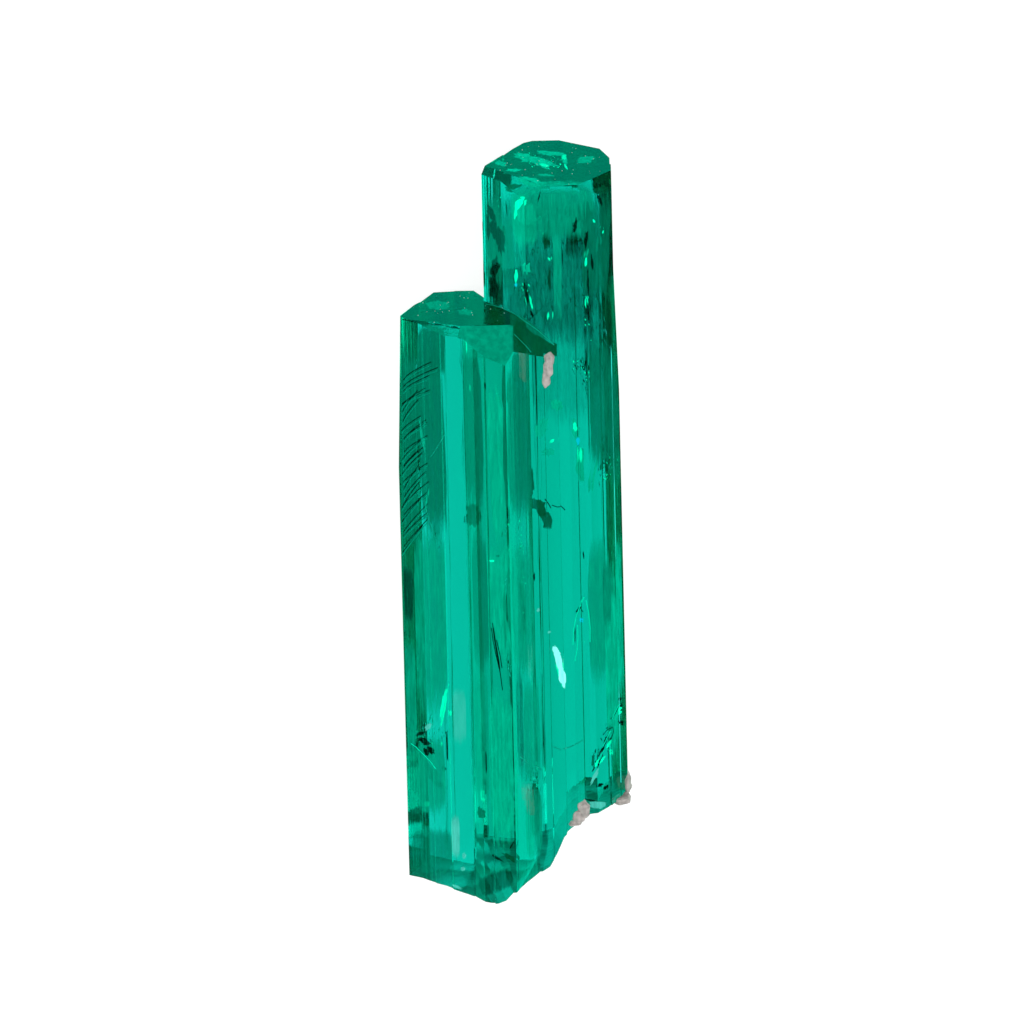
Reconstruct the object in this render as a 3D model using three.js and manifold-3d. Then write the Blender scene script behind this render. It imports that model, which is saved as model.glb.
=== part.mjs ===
// A group of two emerald crystals, grown side by side, with crumbs of the calcite that they grew in.
// It is modelled standing: x to the right, y away from the viewer, z along the crystals' long axis,
// with z = 0 at the short crystal's end face. At the end the group is laid on its back.
// All lengths are in millimetres, all angles in degrees.
import * as THREE from 'three';
import { mergeVertices } from 'three/addons/utils/BufferGeometryUtils.js';
import Module from 'manifold-3d';

const wasm = await Module();
wasm.setup();

// Driving dimensions
const tallTop = 5.19;
const lowest = -25;
const tallTaper = 0.035;
const tallMiddle = 2.85;
const reach = 60;
const contactGap = 0.02;
const crumbDetail = 3;

// The two long edges that the group rests on when it lies on its back
const shortBackEdge = [-1.19, 1.93];
const tallBackEdge = [2.38, 3.23];

// The short crystal's outline seen from above, from its left edge round the front to the back.
// Narrow ledges part its front faces.
const shortOutline = [
  [-2.56, 0.18],
  [-1.62, -0.45],
  [-1.60, -0.49],
  [-1.02, -0.86],
  [-0.98, -0.93],
  [-0.26, -1.17],
  [-0.23, -1.13],
  [0.10, -1.43],
  [0.13, -1.48],
  [0.47, -1.68],
  [0.50, -1.75],
  [1.26, -2.06],
  [2.12, -0.74],
  [2.30, 0.40],
  [0.77, 1.12],
  [0.21, 2.00],
  [-0.45, 2.01],
  [-0.48, 1.98],
  shortBackEdge,
  [-1.66, 1.18],
  [-1.71, 1.16],
];

// Where the short crystal goes on behind the tall one, out of sight from the front, with an open corner.
const backGrowthTop = -0.6;
const backGrowthOutline = [
  [0.76, 1.40],
  [1.00, 0.90],
  [2.20, 1.50],
  [2.60, 3.13],
  [1.30, 2.86],
  [0.66, 2.52],
];

// The narrow growth that fills the corner between the two, in front of the tall crystal.
const shoulderOutline = [
  [1.50, -0.86],
  [2.10, -0.77],
  [2.60, -0.68],
  [2.62, -0.63],
  [3.08, -0.56],
  [3.22, 0.70],
  [1.60, 0.70],
];

// The tall crystal's outline, from its left edge round the front to the back.
const tallOutline = [
  [0.58, 1.15],
  [1.22, 0.60],
  [2.06, -0.45],
  [2.95, -0.45],
  [2.98, -0.41],
  [3.72, -0.41],
  [3.75, -0.45],
  [4.16, -0.45],
  [4.60, -0.05],
  [4.66, -0.05],
  [5.11, 0.42],
  [5.11, 1.20],
  [5.07, 1.23],
  [5.07, 1.72],
  [4.71, 2.53],
  [3.45, 3.23],
  tallBackEdge,
  [2.08, 3.08],
  [1.70, 2.62],
  [1.38, 2.14],
  [1.33, 2.14],
];

// A narrow ledge along the tall crystal's right edge, that starts further down.
const rightLedgeOutline = [
  [4.90, 0.30],
  [4.99, 0.25],
  [5.22, 0.49],
  [5.22, 1.12],
  [5.00, 1.25],
];

// Pyramid faces, bevels and the other planes that cut a crystal's end. A plane's heading is the way it
// faces in plan, and its slope is measured from the flat end face.
const shortFacets = [
  { name: 'front pyramid face', heading: -90, slope: 36, at: [0.70, -0.77, 0] },
  { name: 'front left bevel', heading: -109, slope: 35, at: [-2.17, -0.12, 0] },
  { name: 'left edge bevel', heading: 150, slope: 40, at: [-2.30, 0.24, 0] },
  { name: 'narrow left edge face', heading: 180, slope: 88.2, at: [-2.38, 0.10, -0.25] },
  { name: 'steep corner face', heading: -19.5, slope: 66, at: [1.54, -0.88, -0.05] },
];
const shoulderFacets = [
  { name: 'steep face under the shoulder', heading: -74, slope: 70, at: [2.10, -0.77, -1.18] },
];
const tallFacets = [
  { name: 'front right pyramid face', heading: -47, slope: 65, at: [4.62, -0.03, tallTop - 0.45] },
  { name: 'front left bevel', heading: -131, slope: 50, at: [0.91, 0.88, tallTop - 0.24] },
  { name: 'front bevel', heading: -90, slope: 55, at: [3.00, -0.45, tallTop - 0.09] },
  { name: 'right back bevel', heading: 62, slope: 45, at: [4.10, 2.95, tallTop - 0.12] },
];
const rightLedgeFacets = [
  { name: 'slender start in front', heading: -45, slope: 86, at: [4.99, 0.25, -1.6] },
  { name: 'slender start at the side', heading: 0, slope: 88.5, at: [5.22, 0.80, -2.45] },
];

// The shoulder, where the short crystal's end curves down on to the tall one: flat faces round an arc.
const shoulderStart = 1.36;
const shoulderRadius = 2.0;
const shoulderSlopes = [6, 14, 22, 30, 38, 46, 54];

// The broken foot: its height along x, read at the front, then a rise towards the back and shell-like waves.
const footProfile = [
  [-2.6, -22.32],
  [-1.9, -22.25],
  [-1.3, -22.20],
  [-0.5, -22.30],
  [0.0, -22.43],
  [0.5, -22.35],
  [0.9, -22.08],
  [1.2, -21.62],
  [2.3, -21.70],
  [2.6, -21.42],
  [2.8, -20.88],
  [3.05, -20.30],
  [3.5, -20.02],
  [3.7, -19.66],
  [4.6, -19.56],
  [5.0, -19.46],
  [5.5, -19.00],
];
const footRise = 0.12;
const waveHeight = 0.04;
const waveLength = 1.3;
const waveCentre = [0.9, -2.6];
const footCells = [34, 26];

const green = new THREE.MeshStandardMaterial({ color: 0x06a67e, roughness: 0.06, metalness: 0 });
const pale = new THREE.MeshStandardMaterial({ color: 0xd2c3bc, roughness: 0.75, metalness: 0 });

const radians = THREE.MathUtils.degToRad;

function solid(geometry) {
  const bare = geometry.index ? geometry.toNonIndexed() : geometry.clone();
  bare.deleteAttribute('normal');
  bare.deleteAttribute('uv');
  const merged = mergeVertices(bare, 1e-4);
  return new wasm.Manifold(new wasm.Mesh({
    numProp: 3,
    vertProperties: new Float32Array(merged.attributes.position.array),
    triVerts: new Uint32Array(merged.index.array),
  }));
}

function geometryOf(shape) {
  const mesh = shape.getMesh();
  const geometry = new THREE.BufferGeometry();
  geometry.setAttribute('position', new THREE.BufferAttribute(mesh.vertProperties.slice(), 3));
  geometry.setIndex(new THREE.BufferAttribute(mesh.triVerts.slice(), 1));
  return geometry;
}

// A straight prism that widens downwards along x by the taper.
function prism(outline, bottom, top, taper = 0, middle = 0) {
  const shape = new THREE.Shape(outline.map(([x, y]) => new THREE.Vector2(x, y)));
  const body = new THREE.ExtrudeGeometry(shape, { depth: top - bottom, bevelEnabled: false });
  body.translate(0, 0, bottom);
  const places = body.attributes.position;
  for (let i = 0; i < places.count; i += 1) {
    const down = (top - places.getZ(i)) / (top - bottom);
    places.setX(i, middle + (places.getX(i) - middle) * (1 + taper * down));
  }
  return solid(body);
}

// Everything on the outer side of a plane.
function beyond({ heading, slope, at }) {
  const outward = new THREE.Vector3(
    Math.sin(radians(slope)) * Math.cos(radians(heading)),
    Math.sin(radians(slope)) * Math.sin(radians(heading)),
    Math.cos(radians(slope)),
  );
  const block = new THREE.BoxGeometry(reach, reach, reach);
  block.translate(0, 0, reach / 2);
  block.applyQuaternion(new THREE.Quaternion().setFromUnitVectors(new THREE.Vector3(0, 0, 1), outward));
  block.translate(...at);
  return solid(block);
}

function footHeight(x, y) {
  const last = footProfile.length - 1;
  const next = THREE.MathUtils.clamp(footProfile.findIndex(([px]) => px > x), 1, last);
  const [x0, z0] = footProfile[next - 1];
  const [x1, z1] = footProfile[x > footProfile[last][0] ? last : next];
  const share = THREE.MathUtils.clamp((x - x0) / (x1 - x0 || 1), 0, 1);
  const away = Math.hypot(x - waveCentre[0], y - waveCentre[1]);
  const wave = Math.abs(Math.sin(Math.PI * away / waveLength)) * Math.min(1, away / 2.5);
  return z0 + (z1 - z0) * share + footRise * (y + 0.8) - waveHeight * wave;
}

// What the break took away, below the foot's surface.
function brokenAway() {
  const depth = 8;
  const block = new THREE.BoxGeometry(9, 7, depth, footCells[0], footCells[1], 1);
  block.translate(1.4, 0.4, 0);
  const places = block.attributes.position;
  for (let i = 0; i < places.count; i += 1) {
    const onTop = places.getZ(i) > 0;
    places.setZ(i, onTop ? footHeight(places.getX(i), places.getY(i)) : lowest - depth);
  }
  return solid(block);
}

function faceted(crystal, facets) {
  return facets.reduce((left, facet) => left.subtract(beyond(facet)), crystal);
}

// Flat faces that follow the shoulder's arc, one at each slope.
function shoulderArc() {
  return shoulderSlopes.map((slope) => {
    const x = shoulderStart + shoulderRadius * Math.sin(radians(slope));
    const z = -shoulderRadius * (1 - Math.cos(radians(slope)));
    return { heading: 0, slope, at: [x, 0, z] };
  });
}

function shortCrystal() {
  const arc = shoulderArc();
  const main = faceted(prism(shortOutline, lowest, 0), [...shortFacets, ...arc]);
  const shoulder = faceted(prism(shoulderOutline, lowest, 0), [...shoulderFacets, ...arc]);
  const behind = prism(backGrowthOutline, lowest, backGrowthTop);
  return main.add(shoulder).add(behind);
}

function tallCrystal() {
  const main = faceted(prism(tallOutline, lowest, tallTop, tallTaper, tallMiddle), tallFacets);
  const rightLedge = faceted(prism(rightLedgeOutline, lowest, tallTop, tallTaper, tallMiddle), rightLedgeFacets);
  return main.add(rightLedge);
}

// A rough crumb: a ball of facets, stretched to its size, with hollows and bumps.
function crumb(centre, size, roughness, phase) {
  const ball = new THREE.IcosahedronGeometry(1, crumbDetail);
  const places = ball.attributes.position;
  const point = new THREE.Vector3();
  for (let i = 0; i < places.count; i += 1) {
    point.fromBufferAttribute(places, i);
    const bumps = Math.sin(5 * point.x + phase) + Math.sin(7 * point.y + 2 * phase) + Math.sin(6 * point.z - phase);
    point.multiplyScalar(1 + roughness * bumps / 3);
    places.setXYZ(i, centre[0] + size[0] * point.x, centre[1] + size[1] * point.y, centre[2] + size[2] * point.z);
  }
  return solid(ball);
}

const emerald = shortCrystal().add(tallCrystal()).subtract(brokenAway());

// Calcite sits on the emerald's outside, clear of it by the contact gap.
function onEmerald(crumbs, [x, y, z]) {
  const joined = crumbs.reduce((all, next) => all.add(next));
  return joined.subtract(emerald).subtract(emerald.translate([x * contactGap, y * contactGap, z * contactGap]));
}

const patch = onEmerald([
  crumb([2.82, -0.66, -1.42], [0.17, 0.12, 0.26], 0.22, 0.4),
  crumb([2.76, -0.67, -1.80], [0.17, 0.12, 0.36], 0.25, 1.7),
  crumb([2.67, -0.68, -2.22], [0.15, 0.10, 0.34], 0.22, 2.9),
], [0.3, -1, 0]);

const foot = onEmerald([
  crumb([3.72, -0.42, -19.40], [0.22, 0.16, 0.36], 0.25, 0.9),
  crumb([3.50, -0.42, -19.72], [0.22, 0.16, 0.26], 0.25, 2.2),
  crumb([3.36, -0.20, -19.98], [0.26, 0.34, 0.14], 0.25, 3.6),
], [0, -0.6, -1]);

const rim = onEmerald([
  crumb([5.26, 0.60, -18.86], [0.14, 0.42, 0.36], 0.22, 1.1),
  crumb([5.04, 0.42, -19.44], [0.32, 0.50, 0.14], 0.22, 2.6),
  crumb([5.14, 1.05, -19.28], [0.26, 0.54, 0.18], 0.22, 4.0),
], [0.8, -0.2, -1]);

function piece(name, shape, material) {
  const mesh = new THREE.Mesh(geometryOf(shape), material);
  mesh.name = name;
  return mesh;
}

const specimen = new THREE.Group();
specimen.add(piece('emerald_crystals', emerald, green));
specimen.add(piece('calcite_patch', patch, pale));
specimen.add(piece('calcite_foot', foot, pale));
specimen.add(piece('calcite_rim', rim, pale));

// Its foot is a sloping break, so it lies on its back: on the short crystal's back left edge and the tall
// crystal's back edge. The turn about z brings the plane through those two edges square to y.
specimen.rotation.z = -Math.atan2(tallBackEdge[1] - shortBackEdge[1], tallBackEdge[0] - shortBackEdge[0]);

const laid = new THREE.Group();
laid.rotation.x = -Math.PI / 2;
laid.add(specimen);

// The origin is on the table, at the middle of what the group covers.
const group = new THREE.Group();
group.add(laid);
group.updateMatrixWorld(true);
const box = new THREE.Box3().setFromObject(group, true);
group.position.set(-(box.min.x + box.max.x) / 2, -(box.min.y + box.max.y) / 2, -box.min.z);
group.updateMatrixWorld(true);

export default group;
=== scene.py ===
"""Two emerald crystals grown together, lying on their back on a pale table, dressed for rendering."""
import math
import random
from typing import NamedTuple

import bmesh
import bpy
from mathutils import Matrix, Vector
from mathutils.bvhtree import BVHTree


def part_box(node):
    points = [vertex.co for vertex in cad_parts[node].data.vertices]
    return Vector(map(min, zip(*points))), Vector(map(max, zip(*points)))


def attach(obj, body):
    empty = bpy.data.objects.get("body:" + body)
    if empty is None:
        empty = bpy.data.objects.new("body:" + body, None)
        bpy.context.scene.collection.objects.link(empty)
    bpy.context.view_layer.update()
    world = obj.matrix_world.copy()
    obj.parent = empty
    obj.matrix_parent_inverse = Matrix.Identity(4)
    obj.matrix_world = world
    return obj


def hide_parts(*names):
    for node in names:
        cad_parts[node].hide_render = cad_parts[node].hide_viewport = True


bl_info = {
    "name": "Emerald crystal group",
    "version": (1, 0, 0),
    "blender": (4, 5, 0),
    "location": "3D View > Sidebar > Emerald",
    "description": "Finishes a pair of emerald crystals with veils, growth lines, dust and calcite crumbs",
    "category": "Add Mesh",
}

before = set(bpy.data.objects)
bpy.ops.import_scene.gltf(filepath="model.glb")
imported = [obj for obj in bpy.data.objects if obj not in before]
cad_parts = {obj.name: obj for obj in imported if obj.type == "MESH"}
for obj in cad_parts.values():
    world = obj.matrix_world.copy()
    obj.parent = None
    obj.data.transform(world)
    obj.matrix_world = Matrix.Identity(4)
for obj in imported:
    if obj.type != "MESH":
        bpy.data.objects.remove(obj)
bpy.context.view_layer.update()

MM = 0.001
LOW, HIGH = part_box("emerald_crystals")
EMERALD_IOR = 1.577
FACET_DEPTH = 2.5
FACET_SLOPE = math.radians(36)

# The crystals' gloss: fine lines along them, and a foot that is rough where it broke across them
SURFACE_TINT = (0.10, 0.95, 0.88, 1.0)
LINE_STRETCH = (7000.0, 60.0, 7000.0)
LINE_STRENGTH = 0.3
FOOT_ROUGHNESS = 0.35
CROSSWISE_FROM, CROSSWISE_TO = 0.15, 0.4
BUMP_DISTANCE = 0.03 * MM

# The crystals are described standing, in millimetres: x to the right, y away from the viewer, and z along
# their long axis from the short one's end face. They lie on their back, turned about the long axis.
REST_TURN = math.radians(20.009)
TALL_TOP = 5.19
LEFT_OF_AXIS = 2.3444
BACK_OF_AXIS = 2.2426
# The axis's end, in the short crystal's end face, in metres
AXIS_END = Vector((LOW.x + LEFT_OF_AXIS * MM, HIGH.y - TALL_TOP * MM, LOW.z + BACK_OF_AXIS * MM))

# The photo's frame and the crystals' place in it
FRAME_WIDE, FRAME_HIGH = 1022, 1024
PIXEL_MM = 0.035
AXIS_PIXEL = (468, 316)
VIEW_RISE = math.radians(27)
VIEW_ROLL = math.radians(1.3)

# Colours of single materials, most of them glowing painted light and shade, the flaws' roughness and the
# table's own light
SHADE_COLOUR = (0.0, 0.10, 0.04, 1.0)
PAINTED_GLINT_COLOUR = (0.32, 0.72, 0.62, 1.0)
FLASH_COLOUR = (0.86, 1.0, 0.97, 1.0)
PAINTED_FACET_COLOUR = (0.0, 0.40, 0.245, 1.0)
SHOULDER_SHADE_COLOUR = (0.0, 0.10, 0.035, 1.0)
ARC_HIGHLIGHT_COLOUR = (0.0, 0.30, 0.19, 1.0)
PALE_LINE_COLOUR = (0.03, 0.44, 0.31, 1.0)
BRIGHT_LINE_COLOUR = (0.0, 0.78, 0.50, 1.0)
DUST_COLOUR = (0.35, 0.62, 0.56, 1.0)
FLAW_ROUGHNESS = 0.7
PAINTED_FACET_STRENGTH, SHOULDER_SHADE_STRENGTH = 0.85, 0.75
TABLE_GLOW = 0.88

# The room's light, and what the gloss of a face mirrors of the room and of the table
ROOM_LIGHT = 0.95
MIRRORED_ROOM = (0.0, 0.05, 0.04, 1.0)
MIRRORED_TABLE = (0.0, 1.45, 0.9, 1.0)


def laid_direction(x, y, z):
    """Turns a direction from the standing crystals to the lying ones."""
    across = x * math.cos(REST_TURN) + y * math.sin(REST_TURN)
    away = y * math.cos(REST_TURN) - x * math.sin(REST_TURN)
    return Vector((across, z, -away))


def view_axes():
    """The camera's right, its up, and the way from the crystals to the camera."""
    toward = laid_direction(0, -math.cos(VIEW_RISE), math.sin(VIEW_RISE))
    right = laid_direction(1, 0, 0)
    up = toward.cross(right) * math.cos(VIEW_ROLL) + right * math.sin(VIEW_ROLL)
    return up.cross(toward), up, toward


def framed(spot):
    """The place of a spot of the photo's frame, in the plane that faces the camera at the axis's end."""
    right, up, _ = view_axes()
    across, down = (spot[0] - AXIS_PIXEL[0]) * PIXEL_MM * MM, (spot[1] - AXIS_PIXEL[1]) * PIXEL_MM * MM
    return AXIS_END + right * across - up * down


def eye():
    """The camera's place."""
    middle = framed((FRAME_WIDE / 2, FRAME_HIGH / 2))
    return middle + view_axes()[2] * bpy.context.scene.emerald_sizes.camera_distance


class EmeraldSizes(bpy.types.PropertyGroup):
    speck: bpy.props.FloatProperty(
        name="Speck", description="Size of the smallest specks inside the crystals", default=0.018 * MM,
        unit="LENGTH", precision=6)
    dust: bpy.props.FloatProperty(
        name="Dust", description="Size of the dust grains on the end faces", default=0.022 * MM,
        unit="LENGTH", precision=6)
    thread: bpy.props.FloatProperty(
        name="Thread", description="Radius of a line of thickness 1", default=0.018 * MM,
        unit="LENGTH", precision=6)
    camera_distance: bpy.props.FloatProperty(
        name="Camera distance", description="From the camera to the crystals", default=0.6, unit="LENGTH")
    table_radius: bpy.props.FloatProperty(
        name="Table radius", description="Radius of the pale table top", default=1.5, unit="LENGTH")


class EmeraldColours(bpy.types.PropertyGroup):
    absorbed: bpy.props.FloatVectorProperty(
        name="Crystal colour", description="Colour that the crystal lets through", subtype="COLOR",
        size=4, default=(0.0, 0.879, 0.817, 1.0), min=0, max=1)
    density: bpy.props.FloatProperty(
        name="Crystal density", description="Depth of the crystal's colour, per metre", default=1200.0)
    dark_flaw: bpy.props.FloatVectorProperty(
        name="Dark flaws", description="Colour of the dark flakes inside", subtype="COLOR",
        size=4, default=(0.0, 0.07, 0.024, 1.0), min=0, max=1)
    black_flaw: bpy.props.FloatVectorProperty(
        name="Black flaws", description="Colour of the darkest flakes and lines", subtype="COLOR",
        size=4, default=(0.0, 0.022, 0.009, 1.0), min=0, max=1)
    # Glowing colour of the sheets of painted shade in the dark bands
    painted_shade_sheet: bpy.props.FloatVectorProperty(
        name="Painted shade sheets", description="Colour of the deep green veils", subtype="COLOR",
        size=4, default=(0.0, 0.222, 0.128, 1.0), min=0, max=1)
    # Glowing colour of the sheets of painted light and shade in the middling bands
    painted_midtone_sheet: bpy.props.FloatVectorProperty(
        name="Painted midtone sheets", description="Colour of the veils of middling depth", subtype="COLOR",
        size=4, default=(0.0, 0.40, 0.24, 1.0), min=0, max=1)
    # Glowing colour of painted glints: the bright flakes, the flash rims and the bright specks
    bright_flaw: bpy.props.FloatVectorProperty(
        name="Bright flaws", description="Colour of the bright flakes inside", subtype="COLOR",
        size=4, default=(0.0, 1.0, 0.52, 1.0), min=0, max=1)
    # Glowing colour of the painted light in the pale flakes and sheets
    painted_light: bpy.props.FloatVectorProperty(
        name="Painted light flakes", description="Colour of the pale flakes and veils inside", subtype="COLOR",
        size=4, default=(0.0, 0.56, 0.34, 1.0), min=0, max=1)
    # Glowing colour of the painted cyan glints
    cyan_flaw: bpy.props.FloatVectorProperty(
        name="Cyan glints", description="Colour of the thin cracks that part the light", subtype="COLOR",
        size=4, default=(0.0, 0.58, 0.75, 1.0), min=0, max=1)
    calcite: bpy.props.FloatVectorProperty(
        name="Calcite", description="Colour of the calcite crumbs", subtype="COLOR",
        size=4, default=(0.38, 0.345, 0.325, 1.0), min=0, max=1)
    table: bpy.props.FloatVectorProperty(
        name="Table colour", description="Colour of the table top", subtype="COLOR",
        size=4, default=(0.2, 0.2, 0.2, 1.0), min=0, max=1)


class Flaw(NamedTuple):
    """A flake inside the crystals, or a patch of them.

    It is placed by the spot of the photo's frame where it shows. Its length and width are in pixels of the
    frame, its turn is clockwise from upright in degrees, and its depth below the surface is in millimetres.
    A strength of 1 hides what is behind it.
    """
    spot: tuple
    long: float
    wide: float
    turn: float = 0.0
    below: float = 0.12
    strength: float = 1.0


# Near black flakes and slivers
DARK_FLAWS = (
    Flaw((488, 226), 40, 6, -2, 0.07),
    Flaw((491, 213), 22, 10, -25, 0.08),
    Flaw((494, 229), 34, 13, -10, 0.09),
    Flaw((500, 240), 44, 14, -4, 0.1),
    Flaw((495, 268), 34, 12, 8, 0.09),
    Flaw((494, 288), 38, 13, -4, 0.08),
    Flaw((414, 746), 16, 8, 20, 0.1),
    Flaw((413, 722), 12, 6, -30, 0.1),
    Flaw((419, 734), 14, 6, 75, 0.1),
    Flaw((426, 752), 12, 7, -30, 0.1),
    Flaw((612, 727), 12, 5, 40, 0.1),
    Flaw((606, 739), 14, 3, 30, 0.1, 0.8),
    Flaw((600, 753), 16, 2.5, 25, 0.1, 0.8),
    Flaw((594, 768), 14, 2, 25, 0.1, 0.8),
    Flaw((586, 240), 30, 5, 6, 0.1, 0.9),
    Flaw((592, 262), 24, 4, -3, 0.1, 0.8),
    Flaw((575, 226), 22, 6, 12, 0.12, 0.8),
    Flaw((600, 200), 18, 5, -20, 0.1, 0.7),
    Flaw((526, 291), 34, 4.5, -10),
    Flaw((506.5, 209), 22, 2, -5),
    Flaw((539, 197), 18, 2, 14),
    Flaw((588, 282), 40, 3, 0),
    Flaw((588, 312), 30, 3, -4),
    Flaw((562.5, 256), 26, 1.6, -1),
    Flaw((532, 314), 10, 4, -20),
    Flaw((591.5, 361.5), 7, 4, 10, 0.7),
    Flaw((583.5, 368), 8, 4.5, -15, 0.6),
    Flaw((590, 380), 6, 2, -20, 0.8),
    Flaw((507.8, 516), 28, 1.6, -1),
    Flaw((534.3, 577), 11, 3, 0, 0.7),
    Flaw((523, 579), 6, 2.5, 20, 0.7),
    Flaw((524.5, 596), 5, 4, 60, 0.6),
    Flaw((583.5, 555), 11, 2, -5),
    Flaw((579, 609), 10, 3, 35, 0.1),
    Flaw((431, 750), 14, 8, -40, 0.1),
    Flaw((575, 635), 24, 1.8, 2, 0.35),
    Flaw((617, 702), 15, 2, 35, 0.3),
    Flaw((620, 723), 10, 3, -40, 0.35),
    Flaw((613, 730), 16, 3.5, 10, 0.4),
    Flaw((609, 727), 12, 3, 60, 0.4),
    Flaw((603, 750), 14, 2, 25, 0.4),
    Flaw((486, 762), 34, 1.8, 0),
    Flaw((424, 741), 20, 9, -65, 0.1),
    Flaw((410, 729), 14, 5, -50, 0.1),
    Flaw((444, 769), 10, 6, 0, 0.6, 0.7),
    Flaw((447, 745), 44, 3, 0, 0.6),
    Flaw((606, 787), 10, 4, 60, 0.3),
    Flaw((485, 386), 10, 2, 0, 0.6),
    Flaw((498, 556), 6, 3, 80, 0.4),
    Flaw((420, 370), 22, 6, 52, 0.1),
    Flaw((417, 382), 14, 4, 58, 0.1),
    Flaw((411, 440), 20, 5, 60, 0.1),
    Flaw((416.5, 321.5), 21, 3.5, 99, 0.06),
    Flaw((438, 324.5), 13, 3, 99, 0.06),
    Flaw((455, 327.5), 11, 3.5, 99, 0.06),
    Flaw((611, 741), 12, 3, 15, 0.3),
    Flaw((598, 762), 12, 3, 35, 0.3),
    Flaw((621, 706), 10, 2.5, 20, 0.3),
    Flaw((613, 717), 8, 3, 50, 0.3),
    Flaw((497, 858), 17, 4, 120, 0.3, 0.7),
    Flaw((600, 785), 10, 5, 60, 0.2),
    Flaw((590, 800), 3, 14, 10, 0.2, 0.7),
    Flaw((512, 845), 12, 2, 30, 0.3),
)

# Pale lines close under the surface, for scratches and for painted highlights on lit edges, each as its spots
# from end to end
PALE_LINES = (
    ((486, 304), (494, 305.5), (502, 308), (513, 313), (524, 320.5), (538, 330.5), (547, 338.5), (554, 345)),
    ((583, 187), (588, 189), (592, 192), (596, 194)),
    ((514, 334), (519, 339), (526, 346), (531, 352)),
    ((520, 757), (525, 760), (528, 764), (529, 770)),
    ((535, 766), (539, 768), (542, 770)),
    ((553, 746.5), (557, 748), (561, 750)),
    ((563, 749), (570, 747), (578, 743), (583, 740)),
    ((425, 452), (422.5, 440), (421, 428), (420.5, 417)),
    ((431, 457), (436, 449), (441, 441), (445, 434)),
    ((424, 500), (427, 512), (431, 525), (436, 540)),
)

# Painted shade: flakes that glow in a dark green and let some light through, and a strength for them all
SHADE = 0.7
SHADES = (
    Flaw((499, 232), 42, 17, -6, 0.8),
    Flaw((494, 278), 44, 13, 2, 0.6),
    Flaw((549, 235), 44, 7, 0, 0.8),
    Flaw((549.5, 280), 42, 4, -1, 0.8),
    Flaw((575, 230), 40, 13, 10, 0.8),
    Flaw((609, 330), 90, 12, 0, 0.7),
    Flaw((600, 190), 22, 10, 70, 0.4),
    Flaw((513, 187), 24, 7, 80, 0.4),
    Flaw((608, 366), 14, 8, 85, 0.5),
    Flaw((607, 456), 54, 12, 18, 0.7),
    Flaw((605, 440), 26, 8, 5, 0.7),
    Flaw((531, 482), 44, 9, -3, 0.7),
    Flaw((540, 507), 28, 18, -20, 0.3),
    Flaw((546, 518), 32, 15, -26, 0.3),
    Flaw((474, 515), 36, 22, 0, 0.3, 0.75),
    Flaw((481, 813), 18, 12, 0, 0.3),
    Flaw((432, 775), 60, 14, -35, 0.3, 0.6),
    Flaw((604, 250), 50, 12, 3, 0.8),
    Flaw((509, 857), 21, 7, -56, 0.4),
    Flaw((536, 812), 84, 14, 0, 0.8),
    Flaw((425, 748), 34, 18, -30, 0.5),
    Flaw((523, 610), 110, 9, 0, 0.9),
    Flaw((593, 760), 24, 4, 3, 0.5),
)

# Painted glints: bright flakes that glow where the real ones catch the light
BRIGHT_FLAWS = (
    Flaw((519, 203), 24, 10, 24, 0.3),
    Flaw((515.5, 213), 16, 5, 8, 0.3),
    Flaw((516, 276), 18, 5, 4, 0.35),
    Flaw((587.5, 253), 13, 2.4, 14, 0.3),
    Flaw((531, 302), 22, 3, -12, 0.35),
    Flaw((548, 316), 10, 3, 8, 0.4, 0.6),
    Flaw((587, 302), 17, 2, -8, 0.25),
    Flaw((499, 230), 11, 4, 0, 0.3),
    Flaw((489.5, 260), 8, 4, -20, 0.3),
    Flaw((549, 259), 6, 3, -25, 0.3, 0.6),
    Flaw((470, 388), 11, 2.6, -3, 0.3),
    Flaw((575, 427), 14, 5, -4, 0.12, 0.7),
    Flaw((616, 716), 14, 4, 25, 0.1),
    Flaw((609, 744), 14, 4, 30, 0.08),
    Flaw((597, 763), 12, 3.5, 28, 0.08),
    Flaw((594, 221), 6, 3, -30, 0.1, 0.7),
    Flaw((603, 232), 5, 2, 20, 0.1, 0.7),
    Flaw((586, 262), 14, 3, 8, 0.08),
    Flaw((581, 455), 20, 4, 0, 0.3, 0.4),
    Flaw((443, 475), 8, 4, -20, 0.2, 0.6),
    Flaw((433, 514), 10, 3, -15, 0.2, 0.6),
    Flaw((482, 795), 18, 5, 0, 0.3, 0.6),
    Flaw((427, 804), 8, 9, 0, 0.3, 0.5),
    Flaw((492, 561), 3, 7, 0, 0.2, 0.7),
    Flaw((488, 357), 5, 2, -55, 0.1),
    Flaw((552, 441), 8, 4, 55, 0.3),
    Flaw((443.5, 707), 50, 7, 9, 0.12),
    Flaw((450.5, 713), 8, 3, 0, 0.25),
    Flaw((441.5, 744), 8, 3, 0, 0.2),
    Flaw((602, 760), 14, 3, 40, 0.2),
    Flaw((618, 712), 14, 4, 25, 0.2),
    Flaw((612, 752), 8, 3, -20, 0.2),
    Flaw((466.5, 345), 24, 2, 0, 0.1, 0.5),
    Flaw((487, 346), 30, 2, 0, 0.1, 0.5),
    Flaw((564, 157), 7, 8, -20, 0.2, 0.4),
    Flaw((566, 167), 9, 2.5, -30, 0.2, 0.5),
    Flaw((544, 165), 4, 14, 14, 0.2, 0.4),
)
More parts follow.
